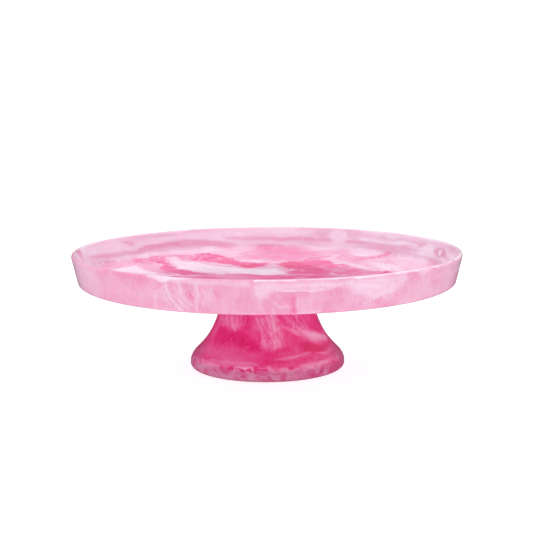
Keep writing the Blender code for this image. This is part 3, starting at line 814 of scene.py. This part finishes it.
def marble(name, stops, stir, cloud_amp, fine_amp, streak_amp, edge_grain, subsurface, roughness):
    """Poured resin: vertex layers say where the pigments and the painted shade lie, and noise gives their edges,
    clouding, threads and drawn-out grain.
    """
    m = Nodes(name)
    co = m.new("ShaderNodeTexCoord").outputs["Object"]
    # domain warped twice, as stirred resin folds on itself
    w1 = m.vmath("SUBTRACT", m.noise(co, 38, 3, 0.5, color=True), (0.5, 0.5, 0.5))
    p1 = m.vmath("ADD", co, m.vmath("SCALE", w1, scale=0.026))
    w2 = m.vmath("SUBTRACT", m.noise(p1, 95, 3, 0.55, color=True), (0.5, 0.5, 0.5))
    p2 = m.vmath("ADD", p1, m.vmath("SCALE", w2, scale=0.012))
    cloud = m.noise(p2, 62, 6, 0.58)
    fine = m.noise(p2, 240, 4, 0.6)
    # drawn-out grain: arcs round the stir on the flat, upright streaks on the walls
    rel = m.vmath("SUBTRACT", p1, stir)
    flat = m.vmath("MULTIPLY", rel, (1, 1, 0))
    rho = m.vmath("LENGTH", flat)
    unit = m.vmath("NORMALIZE", flat)
    comb = m.new("ShaderNodeCombineXYZ")
    sep = m.new("ShaderNodeSeparateXYZ")
    m.link(unit, sep.inputs[0])
    m.feed(comb.inputs[0], m.math("MULTIPLY", rho, 105.0))
    m.feed(comb.inputs[1], m.math("MULTIPLY", sep.outputs[0], 1.6))
    m.feed(comb.inputs[2], m.math("MULTIPLY", sep.outputs[1], 1.6))
    arcs = m.noise(comb.outputs[0], 1.0, 5, 0.62)
    upright = m.noise(m.vmath("MULTIPLY", p1, (300, 300, 34)), 1.0, 4, 0.62)
    level = m.noise(m.vmath("MULTIPLY", p1, (26, 26, 300)), 1.0, 4, 0.6)
    grain = m.mix(m.attr("level"), m.mix(m.attr("streak"), arcs, upright), level)

    wall = m.math("MAXIMUM", m.attr("level"), m.attr("streak"))
    # thinner streaks of the same arcs, finer across than along
    fcomb = m.new("ShaderNodeCombineXYZ")
    m.feed(fcomb.inputs[0], m.math("MULTIPLY", rho, 330.0))
    m.feed(fcomb.inputs[1], m.math("MULTIPLY", sep.outputs[0], 3.4))
    m.feed(fcomb.inputs[2], m.math("MULTIPLY", sep.outputs[1], 3.4))
    streaks = m.math("SUBTRACT", m.noise(fcomb.outputs[0], 1.0, 3, 0.6), 0.5)
    flatness = m.range(wall, 0.0, 0.5, 1.0, 0.0)
    edge_noise = m.math("ADD", m.math("MULTIPLY", m.math("SUBTRACT", cloud, 0.5), 14.0), m.math("MULTIPLY", m.math("SUBTRACT", fine, 0.5), 4.0))
    edge_noise = m.math("ADD", edge_noise, m.math("MULTIPLY", m.math("SUBTRACT", grain, 0.5), edge_grain))
    edge_noise = m.math("ADD", edge_noise, m.math("MULTIPLY", m.math("MULTIPLY", streaks, 9.0), flatness))
    edge_noise = m.math("MULTIPLY", edge_noise, m.range(wall, 0.0, 1.0, 1.0, 0.25))
    # edges are crisp in places and feathered in others
    feather = m.range(m.noise(p1, 44, 3, 0.5), 0.42, 0.66, 0.0, 1.0)
    feather = m.math("MULTIPLY", feather, m.range(wall, 0.0, 1.0, 1.0, 0.3))
    tone = m.attr("tone")
    half = m.math("ADD", 0.9, m.math("MULTIPLY", feather, 4.2))
    hot_mask = m.range(m.math("ADD", m.attr("hot"), edge_noise), m.math("MULTIPLY", half, -1.0), half)
    hot_tone = m.math("ADD", m.attr("hot_tone"), m.math("MULTIPLY", m.math("MULTIPLY", streaks, 0.75), flatness))
    tone = m.mix(m.math("MULTIPLY", hot_mask, 0.95), tone, hot_tone)
    half = m.math("ADD", 0.7, m.math("MULTIPLY", feather, 3.0))
    white_mask = m.range(m.math("ADD", m.attr("white"), edge_noise), m.math("MULTIPLY", half, -1.0), half)
    threaded = m.math("MULTIPLY", m.range(streaks, 0.02, 0.16), flatness)
    white_mask = m.math("MULTIPLY", white_mask, m.math("SUBTRACT", m.attr("white_amount"), m.math("MULTIPLY", threaded, 0.5)))
    tone = m.mix(m.math("MULTIPLY", white_mask, 0.94), tone, 0.07)
    # fine pale strands that hang from a veil
    coarse = m.math("ABSOLUTE", m.math("SUBTRACT", m.noise(m.vmath("MULTIPLY", p1, (330, 330, 30)), 1.0, 3, 0.55), 0.5))
    hair = m.math("ABSOLUTE", m.math("SUBTRACT", m.noise(m.vmath("MULTIPLY", p1, (760, 760, 60)), 1.0, 2, 0.5), 0.5))
    strand = m.math("MAXIMUM", m.range(coarse, 0.085, 0.0), m.math("MULTIPLY", m.range(hair, 0.08, 0.0), 0.7))
    strand = m.math("MULTIPLY", strand, m.math("MULTIPLY", m.range(cloud, 0.36, 0.56), m.attr("veil")))
    tone = m.mix(m.math("MULTIPLY", strand, 0.85), tone, 0.06)
    # small clouding and grain
    lively = m.attr("cloud")
    tone = m.math("ADD", tone, m.math("MULTIPLY", m.math("MULTIPLY", m.math("SUBTRACT", cloud, 0.5), cloud_amp), lively))
    tone = m.math("ADD", tone, m.math("MULTIPLY", m.math("SUBTRACT", fine, 0.5), fine_amp))
    tone = m.math("ADD", tone, m.math("MULTIPLY", m.math("SUBTRACT", grain, 0.5), m.range(wall, 0.0, 1.0, 2.0 * streak_amp, streak_amp)))
    # wisps drawn out along the swirl on the flat
    wcomb = m.new("ShaderNodeCombineXYZ")
    m.feed(wcomb.inputs[0], m.math("MULTIPLY", rho, 62.0))
    m.feed(wcomb.inputs[1], m.math("MULTIPLY", sep.outputs[0], 1.1))
    m.feed(wcomb.inputs[2], m.math("MULTIPLY", sep.outputs[1], 1.1))
    wisp = m.math("ABSOLUTE", m.math("SUBTRACT", m.noise(wcomb.outputs[0], 1.0, 3, 0.55), 0.5))
    wisp = m.math("MULTIPLY", m.range(wisp, 0.028, 0.0), m.range(m.noise(co, 31, 3, 0.5), 0.5, 0.6))
    tone = m.mix(m.math("MULTIPLY", m.math("MULTIPLY", wisp, m.range(wall, 0.0, 0.5, 1.0, 0.0)), 0.55), tone, 0.10)
    # threads: those drawn, and faint curls of their own
    line = m.math("ABSOLUTE", m.math("ADD", m.attr("line"), m.math("MULTIPLY", m.math("SUBTRACT", fine, 0.5), 1.4)))
    thread = m.math("MULTIPLY", m.range(line, 0.75, 0.15), m.attr("line_on"))
    curl = m.math("ABSOLUTE", m.math("SUBTRACT", m.noise(p2, 70, 2, 0.5), 0.5))
    curl = m.math("MULTIPLY", m.range(curl, 0.012, 0.0), m.range(cloud, 0.5, 0.62))
    thread = m.math("MAXIMUM", m.math("MULTIPLY", thread, 0.8), m.math("MULTIPLY", curl, 0.5))
    tone = m.mix(m.math("MULTIPLY", thread, 0.75), tone, 0.08)
    tone = m.math("MAXIMUM", m.math("MINIMUM", tone, 1.0), 0.0)
    color = m.ramp(tone, stops)
    # a slow drift between a bluer and a warmer pink
    drift = m.noise(co, 17, 2, 0.5)
    color = m.mix_color(m.range(drift, 0.42, 0.72, 0.0, 0.22), color, m.mix_color(0.5, color, srgb(246, 178, 196)))
    # painted shade: the shade layer darkens the colour toward grey mauve
    color = m.mix_color(m.attr("painted_shade"), color, srgb(166, 96, 126))
    # tiny bubbles and specks of undissolved pigment
    vor = m.new("ShaderNodeTexVoronoi", feature="F1")
    m.feed(vor.inputs["Vector"], co)
    vor.inputs["Scale"].default_value = 210
    size = m.math("MULTIPLY", m.math("SUBTRACT", m.noise(co, 130, 1, 0.5), 0.60), 0.9)
    speck = m.range(m.math("SUBTRACT", size, vor.outputs["Distance"]), 0.0, 0.03)
    color = m.mix_color(m.math("MULTIPLY", speck, 0.2), color, srgb(255, 240, 248))

    b = m.new("ShaderNodeBsdfPrincipled")
    m.link(color, b.inputs["Base Color"])
    smudge = m.noise(p1, 26, 4, 0.6)
    rub = m.noise(m.vmath("MULTIPLY", co, (900, 900, 900)), 1.0, 2, 0.6)
    rough = m.math("ADD", m.range(smudge, 0.35, 0.75, roughness * 0.75, roughness * 1.5), m.math("MULTIPLY", m.math("SUBTRACT", rub, 0.5), 0.05))
    rough = m.math("ADD", rough, m.math("MULTIPLY", speck, 0.1))
    m.link(rough, b.inputs["Roughness"])
    b.inputs["IOR"].default_value = 1.5
    b.inputs["Specular IOR Level"].default_value = 0.04
    b.inputs["Subsurface Weight"].default_value = subsurface
    b.inputs["Subsurface Radius"].default_value = (1.0, 0.45, 0.6)
    b.inputs["Subsurface Scale"].default_value = 0.002
    b.inputs["Coat Weight"].default_value = 0.16
    b.inputs["Coat Roughness"].default_value = 0.05
    b.inputs["Coat IOR"].default_value = 1.5
    # polished but hand finished: slow waviness, faint pitting
    h = m.math("MULTIPLY", m.noise(co, 55, 3, 0.5), 0.00022)
    h = m.math("ADD", h, m.math("MULTIPLY", m.noise(co, 600, 3, 0.6), 0.000012))
    h = m.math("SUBTRACT", h, m.math("MULTIPLY", speck, 0.00004))
    bump = m.new("ShaderNodeBump")
    bump.inputs["Strength"].default_value = 0.5
    bump.inputs["Distance"].default_value = 1.0
    m.link(h, bump.inputs["Height"])
    m.link(bump.outputs[0], b.inputs["Normal"])
    m.link(b.outputs[0], m.out.inputs[0])
    return m.mat


DISH_STOPS = [
    (0.0, srgb(253, 237, 248)), (0.12, srgb(247, 219, 236)), (0.26, srgb(240, 199, 221)), (0.40, srgb(236, 177, 204)),
    (0.55, srgb(233, 150, 187)), (0.70, srgb(236, 115, 164)), (0.85, srgb(232, 82, 142)), (1.0, srgb(225, 50, 116)),
]
FOOT_STOPS = [
    (0.0, srgb(247, 198, 220)), (0.2, srgb(242, 160, 196)), (0.4, srgb(238, 127, 175)), (0.6, srgb(235, 95, 156)),
    (0.8, srgb(230, 56, 131)), (1.0, srgb(218, 24, 106)),
]


def clear_material(name, tint, rough, scale, alpha_like):
    m = Nodes(name)
    co = m.new("ShaderNodeTexCoord").outputs["Object"]
    n = m.noise(co, scale, 4, 0.55)
    b = m.new("ShaderNodeBsdfPrincipled")
    m.link(m.ramp(n, [(0.3, srgb(*[v * 0.96 for v in tint])), (0.7, srgb(*tint))]), b.inputs["Base Color"])
    m.link(m.range(n, 0.3, 0.7, rough * 0.8, rough * 1.3), b.inputs["Roughness"])
    b.inputs["IOR"].default_value = 1.43
    b.inputs["Subsurface Weight"].default_value = alpha_like
    b.inputs["Subsurface Radius"].default_value = (1.0, 0.8, 0.8)
    b.inputs["Subsurface Scale"].default_value = 0.002
    bump = m.new("ShaderNodeBump")
    bump.inputs["Strength"].default_value = 0.4
    bump.inputs["Distance"].default_value = 1.0
    m.link(m.math("MULTIPLY", m.noise(co, scale * 3, 3, 0.6), 0.00003), bump.inputs["Height"])
    m.link(bump.outputs[0], b.inputs["Normal"])
    m.link(b.outputs[0], m.out.inputs[0])
    return m.mat


# ------------------------------------------------------------------ build
dish = make_dish()
dish.data.materials.append(marble("dish_resin", DISH_STOPS, (0.005, 0.075, 0.0), 0.30, 0.08, 0.26, 16.0, 0.30, 0.16))
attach(dish, "root")
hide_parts("plate")

foot = make_foot()
foot.data.materials.append(marble("foot_resin", FOOT_STOPS, (0.0, 0.0, 0.0), 0.34, 0.10, 0.40, 4.0, 0.25, 0.14))
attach(foot, "root")
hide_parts("pedestal")

bond = make_bond()
bond.data.materials.append(clear_material("clear_adhesive", (238, 190, 210), 0.12, 300, 0.4))
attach(bond, "root")
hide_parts("bond_layer")

silicone = clear_material("clear_silicone", (236, 232, 233), 0.38, 900, 0.5)
for node in sorted(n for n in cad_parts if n.startswith("non_slip_pad")):
    pad = make_pad(node)
    pad.data.materials.append(silicone)
    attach(pad, "root")
    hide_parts(node)

# ------------------------------------------------------------------ studio
def stage_material():
    """Matte white, lit a little from within like a light table, so that the floor stays pale under the dish."""
    m = Nodes("studio_white")
    co = m.new("ShaderNodeTexCoord").outputs["Object"]
    tone = m.ramp(m.noise(co, 3, 3, 0.5), [(0.3, (0.35, 0.35, 0.35, 1)), (0.7, (0.37, 0.37, 0.37, 1))])
    b = m.new("ShaderNodeBsdfPrincipled")
    m.link(tone, b.inputs["Base Color"])
    b.inputs["Roughness"].default_value = 0.9
    b.inputs["Specular IOR Level"].default_value = 0.0
    b.inputs["Emission Color"].default_value = (1, 1, 1, 1)
    b.inputs["Emission Strength"].default_value = 0.82
    m.link(b.outputs[0], m.out.inputs[0])
    return m.mat


def make_stage():
    """A pale floor that sweeps up behind into a backdrop."""
    pts = [(-3.0, 0.0), (1.6, 0.0)]
    pts += [(1.6 + 0.8 * math.sin(a), 0.8 - 0.8 * math.cos(a)) for a in np.linspace(0.1, math.pi / 2, 12)]
    pts += [(2.4, 3.2)]
    verts = [(x, y, z) for y, z in pts for x in (-3.5, 3.5)]
    faces = [(2 * i, 2 * i + 1, 2 * i + 3, 2 * i + 2) for i in range(len(pts) - 1)]
    mesh = bpy.data.meshes.new("studio_sweep")
    mesh.from_pydata(verts, [], faces)
    mesh.update()
    mesh.shade_smooth()
    ob = bpy.data.objects.new("studio_sweep", mesh)
    scene.collection.objects.link(ob)
    mesh.materials.append(stage_material())
    ob.visible_glossy = False     # the gloss shows the room's soft gradient instead of the sweep


def make_surround():
    """The same pale studio seen in the other directions. Light passes it, and it isn't part of the lighting."""
    prof = [(4.2, 0.0)] + [(4.2 + 0.8 * math.sin(a), 0.8 - 0.8 * math.cos(a)) for a in np.linspace(0.2, math.pi / 2, 8)] + [(5.0, 4.5)]
    steps = 72
    verts = [(0.0, 0.0, -0.001)]
    verts += [(r * math.cos(2 * math.pi * j / steps), r * math.sin(2 * math.pi * j / steps), z - 0.001) for r, z in prof for j in range(steps)]
    faces = [(0, 1 + j, 1 + (j + 1) % steps) for j in range(steps)]
    for i in range(len(prof) - 1):
        a, b = 1 + i * steps, 1 + (i + 1) * steps
        faces += [(a + j, b + j, b + (j + 1) % steps, a + (j + 1) % steps) for j in range(steps)]
    mesh = bpy.data.meshes.new("studio_surround")
    mesh.from_pydata(verts, [], faces)
    mesh.update()
    mesh.shade_smooth()
    ob = bpy.data.objects.new("studio_surround", mesh)
    scene.collection.objects.link(ob)
    mesh.materials.append(bpy.data.materials["studio_white"])
    ob.visible_diffuse = ob.visible_glossy = ob.visible_transmission = ob.visible_shadow = False


make_stage()
make_surround()


def softbox(name, loc, target, size, power, tint=(1, 1, 1)):
    data = bpy.data.lights.new(name, "AREA")
    data.shape = "RECTANGLE"
    data.size, data.size_y = size
    data.energy = power
    data.color = tint
    ob = bpy.data.objects.new(name, data)
    ob.location = loc
    ob.rotation_euler = (Vector(target) - Vector(loc)).to_track_quat("-Z", "Y").to_euler()
    scene.collection.objects.link(ob)
    return ob


softbox("top_soft", (0.0, -0.8, 1.5), (0, 0, 0.05), (1.8, 1.8), 3.9)
softbox("front_soft", (-0.1, -2.2, 0.40), (0, 0, 0.05), (2.6, 0.8), 5.6)
softbox("front_high", (0.0, -1.8, 1.15), (0, 0, 0.08), (2.0, 0.6), 1.8)
softbox("right_soft", (0.66, 0.12, 1.15), (0, 0, 0.09), (1.0, 0.45), 3.5)
softbox("left_soft", (-0.95, -0.15, 1.15), (0.05, 0, 0.09), (0.8, 0.6), 3.5)
softbox("side_left", (-2.0, -1.1, 0.45), (0, 0, 0.06), (1.2, 0.7), 3.4)
softbox("side_right", (2.0, -1.1, 0.45), (0, 0, 0.06), (1.2, 0.7), 5.4)

# the room: bright overhead, dim at the height of the table
world = bpy.data.worlds.new("studio_world")
scene.world = world
world.use_nodes = True
wt = world.node_tree
bg = wt.nodes["Background"]
wco = wt.nodes.new("ShaderNodeTexCoord")
wsep = wt.nodes.new("ShaderNodeSeparateXYZ")
wramp = wt.nodes.new("ShaderNodeValToRGB")
wt.links.new(wco.outputs["Generated"], wsep.inputs[0])
wmap = wt.nodes.new("ShaderNodeMapRange")
wmap.inputs["From Min"].default_value = -0.1
wmap.inputs["From Max"].default_value = 1.0
wt.links.new(wsep.outputs["Z"], wmap.inputs["Value"])
wt.links.new(wmap.outputs["Result"], wramp.inputs[0])
el = wramp.color_ramp.elements
el[0].position, el[0].color = 0.0, (0.05, 0.04, 0.06, 1)
el[1].position, el[1].color = 1.0, (1.0, 0.98, 0.99, 1)
for pos, col in ((0.16, (0.15, 0.13, 0.15, 1)), (0.30, (0.20, 0.18, 0.20, 1)), (0.50, (0.42, 0.40, 0.42, 1))):
    e = el.new(pos)
    e.color = col
wt.links.new(wramp.outputs[0], bg.inputs["Color"])
bg.inputs["Strength"].default_value = 1.0

scene.view_settings.view_transform = "Standard"
scene.view_settings.look = "None"

# ------------------------------------------------------------------ camera: 0.90 m away, 0.215 m up, 8.6 degrees down
D, HC, PITCH, ROLL, FOCAL_PX, CX = 0.9015, 0.21536, 0.1504, -0.006, 1173.0, 267.0
cam_data = bpy.data.cameras.new("camera")
cam_data.sensor_width = 36
cam_data.lens = FOCAL_PX / 533 * 36
cam_data.shift_x = -(CX - 266.5) / 533
cam_data.clip_start, cam_data.clip_end = 0.01, 20
cam = bpy.data.objects.new("camera", cam_data)
cam.matrix_world = Matrix.Translation((0, -D, HC)) @ (Euler((math.pi / 2 - PITCH, 0, 0)).to_matrix() @ Euler((0, 0, ROLL)).to_matrix()).to_4x4()
scene.collection.objects.link(cam)
scene.camera = cam
